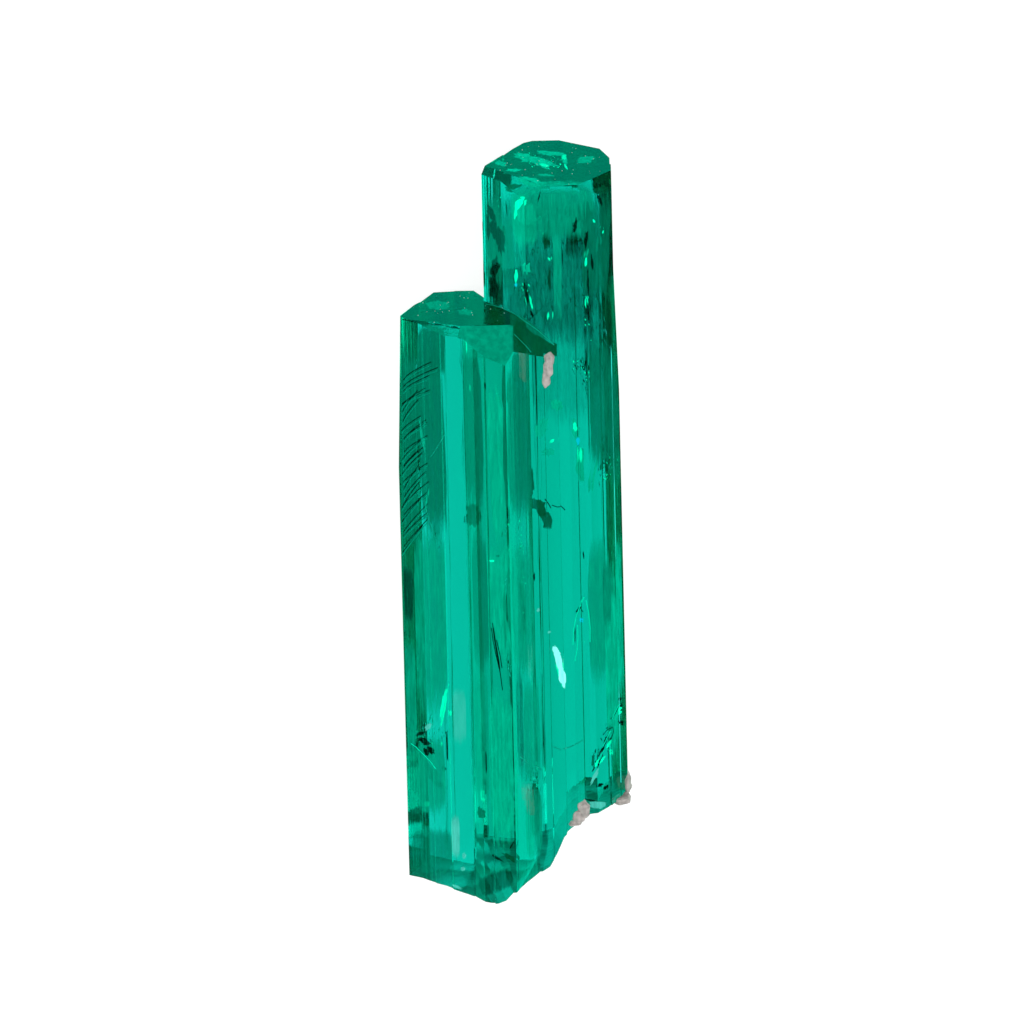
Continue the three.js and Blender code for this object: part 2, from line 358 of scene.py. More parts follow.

# Painted light: flakes that glow a little lighter than what is round them
PAINTED_LIGHT_FLAKES = (
    Flaw((543, 162), 12, 40, 12, 0.3, 0.5),
    Flaw((524, 157), 12, 34, 14, 0.4, 0.5),
    Flaw((550, 153), 7, 40, 6, 0.5, 0.6),
    Flaw((513, 170), 4, 24, 0, 0.3, 0.8),
    Flaw((531, 181), 10, 36, 8, 0.3, 0.6),
    Flaw((500, 163), 8, 20, 20, 0.4, 0.5),
    Flaw((585, 160), 12, 26, -10, 0.5, 0.35),
    Flaw((545, 175), 4, 26, 3, 0.3, 0.4),
    Flaw((438, 305), 14, 40, 0, 0.5, 0.22),
    Flaw((466, 312), 10, 26, 0, 0.4, 0.2),
    Flaw((524, 226), 42, 26, -6, 0.9),
    Flaw((557, 405), 17, 15, -60, 0.3, 0.8),
    Flaw((576, 432), 36, 11, -4, 0.2, 0.8),
    Flaw((541, 428), 34, 18, 30, 0.3, 0.35),
    Flaw((549, 452), 12, 16, 10, 0.3, 0.4),
    Flaw((498, 399), 9, 9, 0, 0.8),
    Flaw((498, 447), 9, 9, 0, 0.8),
    Flaw((545, 164), 12, 20, 40, 0.5, 0.6),
    Flaw((565, 161), 15, 7, -20, 0.5, 0.6),
    Flaw((531, 181), 8, 22, 10, 0.5, 0.6),
    Flaw((523, 155), 5, 16, 0, 0.5),
    Flaw((578, 464), 44, 6, -1, 0.5),
    Flaw((595, 470), 70, 3, 14, 0.4),
    Flaw((422, 436), 44, 4, -9, 0.05),
    Flaw((427, 500), 34, 3, 10, 0.06, 0.8),
    Flaw((597, 245), 22, 4, 5, 0.4),
    Flaw((526, 269), 16, 3, -10, 0.4),
    Flaw((412, 800), 26, 16, 0, 0.5),
)

# Painted cyan glints, that glow where a thin crack parts the colours
CYAN_FLAWS = (
    Flaw((516, 285), 5, 4, 0, 0.2),
    Flaw((578, 441), 12, 5, -4, 0.1, 0.8),
    Flaw((581, 620), 6, 4, 0, 0.15),
)

# Streaked veils, that darken whole stretches of a crystal
VEILS = (
    Flaw((543, 262), 205, 112, 0, 0.7, 0.30),
    Flaw((550, 300), 130, 90, 0, 0.9, 0.14),
    Flaw((562, 365), 150, 70, 0, 0.6, 0.13),
    Flaw((597, 300), 240, 30, 0, 0.45, 0.30),
    Flaw((577, 232), 70, 22, 6, 0.5, 0.4),
    Flaw((607, 595), 84, 9, 0, 0.06, 0.2),
    Flaw((407, 594), 74, 14, 0, 0.08, 0.5),
    Flaw((520, 720), 140, 7, 0, 0.3, 0.30),
    Flaw((496, 882), 26, 38, -20, 0.2, 0.40),
)

# Painted shade: sheets that glow in a deep green, and set the tone of the dark bands
PAINTED_SHADE_SHEETS = (
    Flaw((409, 440), 270, 19, 0, 0.07, 0.72),
    Flaw((431, 350), 66, 30, 0, 0.08, 0.8),
    Flaw((596, 245), 130, 30, 3, 0.25, 0.5),
    Flaw((432, 440), 250, 28, -1.0, 0.14, 0.75),
    Flaw((420, 400), 100, 9, 0, 0.05, 0.5),
    Flaw((407, 594), 74, 14, 0, 0.10, 0.7),
    Flaw((473, 425), 220, 21, -0.4, 0.3, 0.66),
    Flaw((480.5, 600), 180, 17, -0.4, 0.3, 0.45),
    Flaw((518, 440), 190, 27, -1.0, 0.3, 0.70),
    Flaw((520, 368), 44, 18, 0, 0.1, 0.6),
    Flaw((494, 241), 114, 19, 0, 0.14, 0.75),
    Flaw((508, 253), 100, 12, 0, 0.25, 0.35),
    Flaw((601, 405), 160, 26, 0, 0.3, 0.62),
    Flaw((615, 430), 150, 12, 0, 0.06, 0.45),
    Flaw((432, 852), 60, 46, 0, 0.12, 0.45),
    Flaw((532, 329), 46, 9, -48, 0.05, 0.8),
)

# Painted light and shade: sheets that glow in a middling green, and set the tone of the middling bands
PAINTED_MIDTONE_SHEETS = (
    Flaw((431, 618), 240, 34, 0, 0.15, 0.65),
    Flaw((408, 700), 150, 18, 0, 0.07, 0.6),
    Flaw((432, 775), 100, 30, 0, 0.15, 0.6),
    Flaw((482, 735), 180, 15, 0, 0.3, 0.45),
    Flaw((523, 610), 170, 24, -0.5, 0.3, 0.55),
    Flaw((532, 730), 130, 18, 0, 0.35, 0.45),
    Flaw((534, 825), 94, 18, 0, 0.3, 0.5),
    Flaw((600, 612), 180, 25, 0, 0.2, 0.6),
    Flaw((552, 212), 70, 88, 0, 0.25, 0.62),
    Flaw((485, 346), 34, 50, 0, 0.3, 0.3),
)

# Painted light: pale streaked sheets, that glow and lighten the stretches they lie in
PAINTED_LIGHT_SHEETS = (
    Flaw((496.5, 460), 200, 17, -1.2, 0.3, 0.5),
    Flaw((501, 600), 160, 24, 0, 0.3, 0.5),
    Flaw((502, 765), 190, 26, 0, 0.3, 0.75),
    Flaw((619.5, 620), 200, 7, 0, 0.04, 0.9),
    Flaw((611.5, 660), 250, 13, 0, 0.08, 0.7),
    Flaw((557, 262), 150, 9, 0, 0.35, 0.3),
    Flaw((524, 222), 66, 26, -4, 0.4, 0.38),
)

# Painted reflections and glints: pale sheets close under a face, that glow
PAINTED_REFLECTIONS = (
    Flaw((455.5, 836), 54, 9, 0, 0.05, 0.5),
    Flaw((459.5, 716), 70, 14, 0, 0.05, 0.16),
)
GLINTS = (
    Flaw((464, 856), 9, 6, 0, 0.05, 0.5),
    Flaw((463, 869), 6, 8, 0, 0.05, 0.7),
    Flaw((457, 887), 4, 16, 25, 0.08, 0.6),
    Flaw((594.5, 777), 24, 5, 28, 0.05, 0.8),
    Flaw((598, 805), 12, 32, 8, 0.08, 0.7),
    Flaw((538.5, 610), 6, 4, 40, 0.05, 0.8),
    Flaw((428, 727), 12, 7, 30, 0.05, 0.6),
    Flaw((549.5, 632), 3, 4, 0, 0.1, 0.6),
)

# A painted flash: the nearly white light in a crack of the tall crystal, that glows
FLASHES = (
    Flaw((558.5, 660), 38, 10, -14, 0.10),
    Flaw((562, 676), 32, 9, -10, 0.08),
    Flaw((556.5, 652), 16, 8, -30, 0.12),
)
FLASH_RIMS = (
    Flaw((560.5, 668), 50, 11, -13, 0.2, 0.5),
)

# Bright curved cracks that glow as painted light, each as its thickness and its spots from end to end
BRIGHT_LINES = (
    (1.3, (406, 740), (411, 743.5), (416, 747), (423, 754), (430, 761), (436, 769)),
    (0.9, (449, 684), (446, 697), (443, 711), (440.5, 725)),
    (0.7, (577.5, 625), (578, 638), (577, 650), (575, 661)),
    (0.6, (584, 597), (580, 606), (576, 617), (573.5, 630), (573, 645)),
    (0.6, (586, 600), (588.5, 612), (590, 627), (590, 642)),
    (1.0, (619, 704), (616, 710), (612, 719)),
    (1.2, (611, 731), (607, 738), (603, 746)),
    (1.2, (604, 750), (601, 755), (597, 764)),
)

# Dark curved cracks
DARK_LINES = (
    (3.2, (492.5, 623), (494.5, 640), (497.5, 658), (500.5, 675), (502.5, 690)),
    (3.8, (493.5, 628), (495.5, 642), (498.5, 658), (500, 670)),
    (3.4, (491.5, 628), (493, 640), (496, 655), (499, 668)),
    (3.0, (496.5, 640), (500, 655), (502, 668)),
    (1.6, (603, 735), (607, 730), (613, 727), (613.5, 732), (610, 740)),
    (1.6, (601, 752), (604, 746), (607, 741)),
    (1.8, (611, 719), (615, 714), (618, 708)),
    (1.8, (597, 768), (600, 761), (603, 755)),
    (1.4, (576, 612), (579.5, 606.5), (583, 612)),
    (1.2, (552, 505), (557, 507), (561, 506), (565, 510)),
    (1.2, (545, 499), (548, 503), (551, 508)),
    (1.6, (402, 319.5), (412, 321), (424, 323), (436, 325)),
    (1.2, (446, 326.5), (455, 328), (462, 329)),
    (0.8, (463, 330), (472, 341), (481, 350), (490, 358)),
)

# Patches of dark upright dashes
DASH_PATCHES = (
    Flaw((421, 746), 36, 28, 0, 0.3),
    Flaw((445, 745), 56, 10, 0, 0.3),
    Flaw((439, 543), 56, 9, -6, 0.08),
    Flaw((409, 655), 90, 9, 0, 0.3),
    Flaw((588, 296), 70, 9, 0, 0.4),
    Flaw((497, 235), 50, 18, 0, 0.4),
    Flaw((534, 815), 100, 16, 0, 0.5),
    Flaw((482, 745), 70, 6, 0, 0.4),
    Flaw((524, 640), 90, 8, 0, 0.5),
    Flaw((524, 296), 40, 14, -15, 0.4),
    Flaw((606, 735), 60, 12, 25, 0.3),
    Flaw((588, 368), 50, 16, -15, 0.5),
    Flaw((572, 235), 50, 16, 5, 0.5),
    Flaw((604, 460), 60, 14, 10, 0.5),
    Flaw((420, 352), 34, 24, 0, 0.2),
    Flaw((603, 788), 12, 20, 0, 0.3),
)

# Patches where small pockets sparkle
POCKET_PATCHES = (
    Flaw((546, 262), 150, 100, 0, 0.6),
    Flaw((600, 300), 220, 20, 0, 0.4),
    Flaw((583, 372), 60, 30, -30, 0.6),
    Flaw((420, 440), 200, 30, 0, 0.4),
    Flaw((608, 460), 60, 14, 15, 0.4),
    Flaw((428, 745), 60, 34, 0, 0.4),
    Flaw((522, 600), 240, 10, 0, 0.5),
    Flaw((535, 800), 90, 20, 0, 0.5),
    Flaw((610, 740), 60, 16, 20, 0.4),
)

# Patches that are strewn with small dark or bright specks
DARK_SPECKLES = (
    Flaw((500, 232), 44, 16, -6, 0.6),
    Flaw((524, 298), 30, 16, -20, 0.6),
    Flaw((576, 235), 44, 18, 10, 0.6),
    Flaw((601, 330), 90, 14, 4, 0.6),
    Flaw((590, 370), 34, 10, 0, 0.6),
    Flaw((528, 610), 130, 16, 0, 0.6),
    Flaw((437, 534), 40, 8, -32, 0.5),
    Flaw((420, 350), 26, 16, 20, 0.4),
    Flaw((412, 445), 170, 22, 3, 0.5),
    Flaw((535, 800), 90, 14, 0, 0.6),
    Flaw((412, 675), 66, 9, 0, 0.5),
    Flaw((608, 460), 50, 12, 15, 0.5),
    Flaw((426, 748), 30, 18, -30, 0.4),
    Flaw((588, 300), 50, 5, 0, 0.6),
)
# The bright specks glow as painted glints
BRIGHT_SPECKLES = (
    Flaw((535, 160), 16, 44, 12, 0.3),
    Flaw((552, 164), 12, 20, 0, 0.2),
    Flaw((528, 181), 8, 30, 8, 0.3),
    Flaw((541.5, 224), 36, 6, -4, 0.4),
    Flaw((599, 226), 18, 9, -30, 0.4),
    Flaw((499, 200), 4, 16, 0, 0.4),
    Flaw((589, 330), 34, 5, 0, 0.4),
    Flaw((583, 372), 40, 16, -40, 0.4),
    Flaw((528, 298), 30, 14, -20, 0.4),
    Flaw((419, 666), 28, 4, 36, 0.3),
    Flaw((585.5, 640), 12, 6, 0, 0.3),
    Flaw((426, 748), 30, 16, -30, 0.3),
    Flaw((522, 560), 150, 6, 0, 0.4),
    Flaw((609, 466), 40, 12, 15, 0.4),
    Flaw((557, 160), 10, 30, 30, 0.3),
    Flaw((500, 225), 60, 10, -10, 0.4),
)


def new_material(name):
    """An empty node material with its output."""
    material = bpy.data.materials.new(name)
    material.use_nodes = True
    material.node_tree.nodes.clear()
    output = material.node_tree.nodes.new("ShaderNodeOutputMaterial")
    return material, material.node_tree, output


def added(tree, kind, given=(), **settings):
    """A new node with its settings, and what its inputs are given: values, or other nodes' outputs."""
    node = tree.nodes.new(kind)
    for name, value in settings.items():
        setattr(node, name, value)
    for name, value in dict(given).items():
        if isinstance(value, bpy.types.NodeSocket):
            tree.links.new(value, node.inputs[name])
        else:
            node.inputs[name].default_value = value
    return node


def worked(tree, operation, first, second=0.0, third=0.0, clamp=False):
    """The result of one step of arithmetic between sockets or numbers."""
    step = added(tree, "ShaderNodeMath", {0: first, 1: second, 2: third},
                 operation=operation, use_clamp=clamp)
    return step.outputs["Value"]


def emerald_material():
    """Clear green crystal: a see-through surface with fine lines, round a plainly absorbing inside."""
    colours = bpy.context.scene.emerald_colours
    material, tree, output = new_material("Emerald")
    place = added(tree, "ShaderNodeTexCoord").outputs["Object"]
    stretch = added(tree, "ShaderNodeMapping", {"Vector": place, "Scale": LINE_STRETCH})
    lines = added(tree, "ShaderNodeTexNoise", {
        "Vector": stretch.outputs["Vector"], "Scale": 1.0, "Detail": 3.0})
    bump = added(tree, "ShaderNodeBump", {
        "Height": lines.outputs["Fac"], "Strength": LINE_STRENGTH, "Distance": BUMP_DISTANCE})

    facing = added(tree, "ShaderNodeNewGeometry").outputs["True Normal"]
    along = added(tree, "ShaderNodeSeparateXYZ", {"Vector": facing}).outputs["Y"]
    broken = added(tree, "ShaderNodeMapRange", {
        "Value": worked(tree, "ABSOLUTE", along), "From Min": CROSSWISE_FROM, "From Max": CROSSWISE_TO,
        "To Max": FOOT_ROUGHNESS})
    height = added(tree, "ShaderNodeSeparateXYZ", {"Vector": place}).outputs["Y"]
    low = worked(tree, "LESS_THAN", height, AXIS_END.y - FACET_DEPTH * MM)

    surface = added(tree, "ShaderNodeBsdfPrincipled", {
        "Base Color": SURFACE_TINT, "IOR": EMERALD_IOR, "Transmission Weight": 1.0,
        "Roughness": worked(tree, "MULTIPLY", broken.outputs["Result"], low),
        "Normal": bump.outputs["Normal"]})
    inside = added(tree, "ShaderNodeVolumeAbsorption", {
        "Color": colours.absorbed, "Density": colours.density})
    tree.links.new(surface.outputs["BSDF"], output.inputs["Surface"])
    tree.links.new(inside.outputs["Volume"], output.inputs["Volume"])
    return material


def feathered_group():
    """A node group that frays a leaf: dense in the middle, streaked along the crystals, gone at the rim."""
    group = bpy.data.node_groups.get("Feathered")
    if group:
        return group
    group = bpy.data.node_groups.new("Feathered", "ShaderNodeTree")
    for name, value in (("Fineness", 9000.0), ("Slenderness", 9.0), ("Contrast", 1.0), ("Fray", 0.6)):
        socket = group.interface.new_socket(name=name, in_out="INPUT", socket_type="NodeSocketFloat")
        socket.default_value = value
    for name in ("Mask", "Streaks"):
        group.interface.new_socket(name=name, in_out="OUTPUT", socket_type="NodeSocketFloat")
    given = added(group, "NodeGroupInput").outputs
    place = added(group, "ShaderNodeTexCoord").outputs["Object"]
    slow = worked(group, "DIVIDE", given["Fineness"], given["Slenderness"])
    scale = added(group, "ShaderNodeCombineXYZ", {"X": given["Fineness"], "Y": slow, "Z": given["Fineness"]})
    stretched = added(group, "ShaderNodeVectorMath", {0: place, 1: scale.outputs["Vector"]},
                      operation="MULTIPLY")
    streaks = added(group, "ShaderNodeTexNoise", {
        "Vector": stretched.outputs["Vector"], "Scale": 1.0, "Detail": 4.0, "Roughness": 0.65,
        "Distortion": 0.4})
    uneven = worked(group, "SUBTRACT", streaks.outputs["Fac"], 0.5)

    fade = added(group, "ShaderNodeAttribute", attribute_name="fade").outputs["Fac"]
    strength = added(group, "ShaderNodeAttribute", attribute_name="strength").outputs["Fac"]
    frayed = worked(group, "MULTIPLY_ADD", uneven, given["Fray"], fade)
    solid = added(group, "ShaderNodeMapRange", {"Value": frayed, "From Min": 0.12, "From Max": 0.55},
                  interpolation_type="SMOOTHSTEP")
    contrast = worked(group, "MULTIPLY", uneven, given["Contrast"])
    dense = worked(group, "MULTIPLY", worked(group, "ADD", contrast, 1.0), strength, clamp=True)
    added(group, "NodeGroupOutput", {
        "Mask": worked(group, "MULTIPLY", solid.outputs["Result"], dense, clamp=True),
        "Streaks": streaks.outputs["Fac"]})
    return group


def two_tones(tree, mask, colour, dark, light):
    """A colour that goes from a darker to a lighter tone with a mask."""
    ramp = added(tree, "ShaderNodeValToRGB", {"Fac": mask})
    for stop, place, tone in zip(ramp.color_ramp.elements, (0.3, 0.7), (dark, light)):
        stop.position = place
        stop.color = [part * tone for part in colour[:3]] + [1.0]
    return ramp.outputs["Color"]


def flaw_material(name, colour, glow=0.0, **values):
    """A flake's own material, frayed at its rim. With a glow it is painted light and shade, showing its
    colour whatever light falls on it.
    """
    material, tree, output = new_material(name)
    feathered = added(tree, "ShaderNodeGroup", node_tree=feathered_group())
    for socket, value in values.items():
        feathered.inputs[socket].default_value = value
    surface = added(tree, "ShaderNodeBsdfPrincipled", {
        "Roughness": FLAW_ROUGHNESS, "Specular IOR Level": 0.0, "Emission Strength": glow,
        "Alpha": feathered.outputs["Mask"]})
    streaked = two_tones(tree, feathered.outputs["Streaks"], colour, 0.55, 1.0)
    tree.links.new(streaked, surface.inputs["Emission Color" if glow else "Base Color"])
    if glow:
        surface.inputs["Base Color"].default_value = [part * 0.15 for part in colour[:3]] + [1.0]
    tree.links.new(surface.outputs["BSDF"], output.inputs["Surface"])
    return material


def speck_material(name, colour, glow=0.0):
    """A plain finish, for the specks, the lines and the dust. With a glow it is painted light."""
    material, tree, output = new_material(name)
    surface = added(tree, "ShaderNodeBsdfPrincipled", {
        "Base Color": colour, "Roughness": FLAW_ROUGHNESS, "Specular IOR Level": 0.0,
        "Emission Color": colour, "Emission Strength": glow})
    tree.links.new(surface.outputs["BSDF"], output.inputs["Surface"])
    return material


def calcite_material():
    """Pale pinkish grey rock with a fine grain."""
    colour = bpy.context.scene.emerald_colours.calcite
    material, tree, output = new_material("Calcite")
    place = added(tree, "ShaderNodeTexCoord").outputs["Object"]
    noise = added(tree, "ShaderNodeTexNoise", {"Vector": place, "Scale": 6000.0, "Detail": 4.0})
    grain = noise.outputs["Fac"]
    bump = added(tree, "ShaderNodeBump", {"Height": grain, "Strength": 0.5, "Distance": BUMP_DISTANCE})
    surface = added(tree, "ShaderNodeBsdfPrincipled", {
        "Base Color": two_tones(tree, grain, colour, 0.7, 1.25), "Roughness": 0.7,
        "Normal": bump.outputs["Normal"]})
    tree.links.new(surface.outputs["BSDF"], output.inputs["Surface"])
    return material


def merged_copy(node, name):
    """A copy of a node's solid as one joined mesh, in an object of its own."""
    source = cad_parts[node]
    mesh = source.data.copy()
    mesh.name = name
    mesh.materials.clear()
    shape = bmesh.new()
    shape.from_mesh(mesh)
    bmesh.ops.transform(shape, matrix=source.matrix_world, verts=shape.verts)
    bmesh.ops.remove_doubles(shape, verts=shape.verts, dist=1e-7)
    bmesh.ops.dissolve_degenerate(shape, dist=1e-7, edges=shape.edges)
    shape.to_mesh(mesh)
    shape.free()
    return piece_of(mesh, name)


def piece_of(mesh, name):
    """A new object that shows the mesh."""
    piece = bpy.data.objects.new(name, mesh)
    bpy.context.collection.objects.link(piece)
    return piece


def dress(piece, material, slot, *nodes):
    """Gives a finished piece its material and its place in the frame."""
    piece.data.materials.clear()
    piece.data.materials.append(material)
    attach(piece, "root")
    if nodes:
        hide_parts(*nodes)


def crystal_tree():
    """The crystals' surface, for finding what shows at a spot of the photo's frame."""
    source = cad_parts["emerald_crystals"]
    shape = bmesh.new()
    shape.from_mesh(source.data)
    bmesh.ops.transform(shape, matrix=source.matrix_world, verts=shape.verts)
    tree = BVHTree.FromBMesh(shape)
    shape.free()
    return tree


def bent(direction, normal):
    """The way that light goes on inside the crystal."""
    cosine = -direction.dot(normal)
    ratio = 1 / EMERALD_IOR
    inner = math.sqrt(1 - ratio ** 2 * (1 - cosine ** 2))
    return (direction * ratio + normal * (ratio * cosine - inner)).normalized()


def lies_inside(tree, place, margin):
    """Whether a place is inside the crystals, and at least the margin away from their surface."""
    nearest, normal, _, distance = tree.find_nearest(place)
    return (place - nearest).dot(normal) < 0 and distance > margin


LEAF_SIDES = 18
LEAF_THICKNESS = 0.014
FILM_THICKNESS = 0.006
SKIN = 0.03 * MM


def under(tree, spot, below, margin=SKIN):
    """The place below the surface that shows at a spot of the photo's frame, and the way back to the eye.

    There is none beside the crystals, nor where it would come nearer to a surface than the margin.
    """
    start = eye()
    line = (framed(spot) - start).normalized()
    place, normal, _, _ = tree.ray_cast(start, line)
    if place is None:
        return None
    inside = bent(line, normal)
    far = tree.ray_cast(place + inside * 0.02 * MM, inside)[3] or 0.0
    place += inside * min(below * MM, 0.7 * far)
    return (place, -inside) if lies_inside(tree, place, margin) else None


def spot_of(flaw, out, wide):
    """The spot of the photo's frame so far out along a flaw and so far across it, in pixels."""
    angle = math.radians(flaw.turn) - VIEW_ROLL
    return (flaw.spot[0] + out * math.sin(angle) + wide * math.cos(angle),
            flaw.spot[1] - out * math.cos(angle) + wide * math.sin(angle))


def leaf_outline(tree, flaw, form, chance):
    """A leaf's uneven outline in pixels along and across the flaw, pulled in where it would stick out."""
    outline = []
    for step in range(LEAF_SIDES):
        angle = 2 * math.pi * step / LEAF_SIDES
        uneven = 1 - form.rough * chance.random()
        out = math.copysign(abs(math.cos(angle)) ** form.square, math.cos(angle)) * flaw.long / 2 * uneven
        wide = math.copysign(abs(math.sin(angle)) ** form.point, math.sin(angle)) * flaw.wide / 2 * uneven
        while not under(tree, spot_of(flaw, out, wide), flaw.below):
            if abs(wide) > 1:
                wide *= 0.85
            elif abs(out) > 1:
                out *= 0.9
            else:
                raise ValueError(f"nothing of the crystals shows at {flaw.spot}")
        outline.append((out, wide))
    return outline


class Form(NamedTuple):
    """How leaves are shaped: how uneven, how square at the ends, the lower the squarer, and how pointed.

    The last two say how far out they stay dense, towards their ends and towards their sides.
    """
    rough: float = 0.3
    square: float = 1.0
    point: float = 1.5
    dense_along: float = 0.7
    dense_across: float = 0.7


SPLINTERS = Form()
BLOTCHES = Form(rough=0.45, point=1.1)
SHEETS = Form(rough=0.08, square=0.45, point=0.4, dense_along=0.5, dense_across=0.9)


def leaves(name, flaws, form, seed):
    """One mesh of thin closed leaves, one for each flaw, that know how near their rim is."""
    tree = crystal_tree()
    chance = random.Random(seed)
    shape = bmesh.new()
    fade = shape.verts.layers.float.new("fade")
    strength = shape.verts.layers.float.new("strength")
    for flaw in flaws:
        flaw = flaw._replace(below=flaw.below * chance.uniform(0.92, 1.08))
        outline = leaf_outline(tree, flaw, form, chance)
        place, facing = under(tree, flaw.spot, flaw.below)
        edge = [under(tree, spot_of(flaw, out, wide), flaw.below)[0] for out, wide in outline]
        rim = [shape.verts.new(corner) for corner in edge]
        sides = []
        for way in (1, -1):
            lift = facing * way * LEAF_THICKNESS * MM / 2
            ring = []
            for (out, wide), corner in zip(outline, edge):
                spot = spot_of(flaw, out * form.dense_along, wide * form.dense_across)
                found = under(tree, spot, flaw.below)
                middle = found[0] if found else place.lerp(corner, form.dense_along)
                ring.append(shape.verts.new(middle + lift))
            top = shape.verts.new(place + lift)
            top[fade] = 1.0
            for vertex in ring:
                vertex[fade] = 0.6
            sides.append((ring, top))
        for vertex in [*rim, *sides[0][0], *sides[1][0], sides[0][1], sides[1][1]]:
            vertex[strength] = flaw.strength
        for ring, top in sides:
            for index in range(LEAF_SIDES):
                after = (index + 1) % LEAF_SIDES
                shape.faces.new((rim[index], rim[after], ring[after], ring[index]))
                shape.faces.new((ring[index], ring[after], top))
    bmesh.ops.recalc_face_normals(shape, faces=shape.faces)
    mesh = bpy.data.meshes.new(name)
    shape.to_mesh(mesh)
    shape.free()
    return piece_of(mesh, name)


def patches(name, flaws, seed):
    """One mesh of flat leaf shapes, for strewing specks on."""
    tree = crystal_tree()
    chance = random.Random(seed)
    shape = bmesh.new()
    for flaw in flaws:
        outline = leaf_outline(tree, flaw, BLOTCHES, chance)
        shape.faces.new([shape.verts.new(under(tree, spot_of(flaw, out, wide), flaw.below)[0])
                         for out, wide in outline])
    mesh = bpy.data.meshes.new(name)
    shape.to_mesh(mesh)
    shape.free()
    return piece_of(mesh, name)


def new_geometry_tree(name, inputs, output):
    """An empty Geometry Nodes tree with its named inputs, the first of them its geometry, and its output."""
    tree = bpy.data.node_groups.new(name, "GeometryNodeTree")
    for socket, kind in inputs:
        tree.interface.new_socket(name=socket, in_out="INPUT", socket_type="NodeSocket" + kind)
    tree.interface.new_socket(name=output, in_out="OUTPUT", socket_type="NodeSocketGeometry")
    return tree, added(tree, "NodeGroupInput").outputs


def end_tree(tree, geometry, material, output):
    """Ends a Geometry Nodes tree: real meshes with their material."""
    real = added(tree, "GeometryNodeRealizeInstances", {"Geometry": geometry}).outputs["Geometry"]
    finished = added(tree, "GeometryNodeSetMaterial", {"Geometry": real, "Material": material})
    added(tree, "NodeGroupOutput", {output: finished.outputs["Geometry"]})


def strewn_tree():
    """Geometry Nodes that strew small flakes over a mesh and leave the mesh itself out."""
    tree, given = new_geometry_tree("Strewn flakes", (
        ("Patches", "Geometry"), ("Flakes per square metre", "Float"), ("Smallest", "Float"),
        ("Largest", "Float"), ("Stretch", "Vector"), ("Lean", "Vector"), ("Spread", "Float"),
        ("Seed", "Int"), ("Material", "Material")), "Flakes")
    points = added(tree, "GeometryNodeDistributePointsOnFaces", {
        "Mesh": given["Patches"], "Density": given["Flakes per square metre"], "Seed": given["Seed"]})
    depth = added(tree, "FunctionNodeRandomValue", {"Seed": given["Seed"]}, data_type="FLOAT")
    tree.links.new(worked(tree, "MULTIPLY", given["Spread"], -1.0), depth.inputs[2])
    tree.links.new(given["Spread"], depth.inputs[3])
    shift = added(tree, "ShaderNodeVectorMath", {0: points.outputs["Normal"], "Scale": depth.outputs[1]},
                  operation="SCALE")
    moved = added(tree, "GeometryNodeSetPosition", {
        "Geometry": points.outputs["Points"], "Offset": shift.outputs["Vector"]})

    flake = added(tree, "GeometryNodeMeshIcoSphere", {"Radius": 0.5, "Subdivisions": 1})
    stretched = added(tree, "GeometryNodeTransform", {
        "Geometry": flake.outputs["Mesh"], "Scale": given["Stretch"]})
    size = added(tree, "FunctionNodeRandomValue", {
        2: given["Smallest"], 3: given["Largest"], "Seed": given["Seed"]}, data_type="FLOAT")
    back = added(tree, "ShaderNodeVectorMath", {0: given["Lean"], "Scale": -1.0}, operation="SCALE")
    lean = added(tree, "FunctionNodeRandomValue", {
        0: back.outputs["Vector"], 1: given["Lean"], "Seed": given["Seed"]}, data_type="FLOAT_VECTOR")
    turned = added(tree, "FunctionNodeEulerToRotation", {"Euler": lean.outputs[0]})
    placed = added(tree, "GeometryNodeInstanceOnPoints", {
        "Points": moved.outputs["Geometry"], "Instance": stretched.outputs["Geometry"],
        "Rotation": turned.outputs["Rotation"], "Scale": size.outputs[1]})
    end_tree(tree, placed.outputs["Instances"], given["Material"], "Flakes")
    return tree


def set_inputs(modifier, values):
    """Gives a Geometry Nodes modifier its named inputs."""
    for socket in modifier.node_group.interface.items_tree:
        if socket.name in values:
            modifier[socket.identifier] = values[socket.name]


FLAKE_CORNERS = 12


def strew(piece, material, only_inside=True, **values):
    """Replaces a piece by flakes strewn over it, as a plain mesh: those inside the crystals, or all."""
    strewing = piece.modifiers.new("Strewn flakes", "NODES")
    strewing.node_group = bpy.data.node_groups.get("Strewn flakes") or strewn_tree()
    set_inputs(strewing, {**values, "Material": material})
    ready = piece.evaluated_get(bpy.context.evaluated_depsgraph_get())
    mesh = bpy.data.meshes.new_from_object(ready)
    piece.modifiers.clear()
    surface = crystal_tree()
    shape = bmesh.new()
    shape.from_mesh(mesh)
    corners = list(shape.verts)
    outside = []
    for start in range(0, len(corners) if only_inside else 0, FLAKE_CORNERS):
        flake = corners[start:start + FLAKE_CORNERS]
        if not all(lies_inside(surface, corner.co, SKIN / 3) for corner in flake):
            outside += flake
    bmesh.ops.delete(shape, geom=outside, context="VERTS")
    shape.to_mesh(mesh)
    shape.free()
    piece.data = mesh
    return piece


def with_pockets(body, pockets):
    """Adds empty pockets to a solid: closed shells that face inwards."""
    shape = bmesh.new()
    shape.from_mesh(pockets.data)
    bmesh.ops.reverse_faces(shape, faces=shape.faces)
    shape.from_mesh(body.data)
    shape.to_mesh(body.data)
    shape.free()
    bpy.data.objects.remove(pockets)


